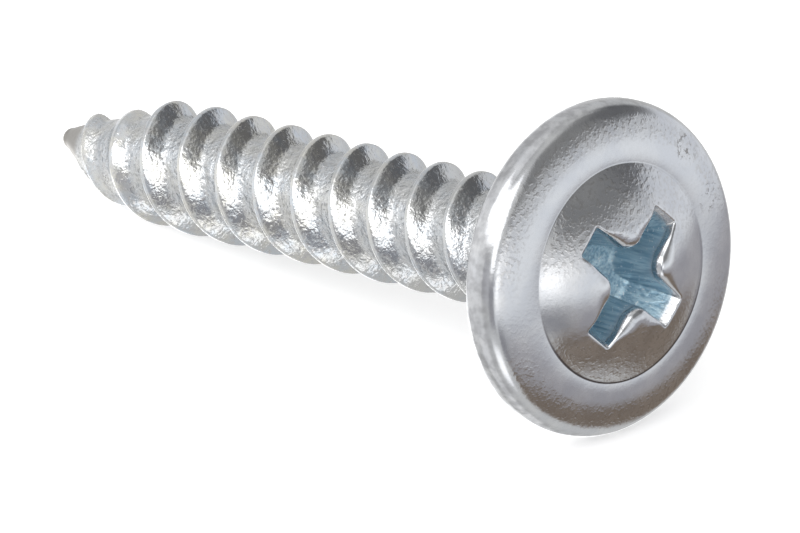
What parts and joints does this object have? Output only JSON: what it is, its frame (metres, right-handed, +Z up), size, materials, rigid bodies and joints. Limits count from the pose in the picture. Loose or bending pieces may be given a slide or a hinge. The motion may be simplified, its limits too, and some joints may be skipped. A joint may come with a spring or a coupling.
{
  "type": "sheet metal screw",
  "caption": "Zinc-plated sheet metal screw with a domed wafer head, a cross recess, a coarse twin thread and a rolled point, lying on its side.",
  "frame": {"origin": "centre of the flat bearing face under the head, on the screw's axis", "axes": "+Z up with the screw lying as it rests, +X towards the head along the floor, +Y across"},
  "size_m": [0.027, 0.0108, 0.0107],
  "materials": {
    "zinc_steel": "bright zinc plating on steel, bluish and slightly mottled"
  },
  "bodies": {
    "root": {"screw": "zinc_steel"}
  },
  "joints": []
}
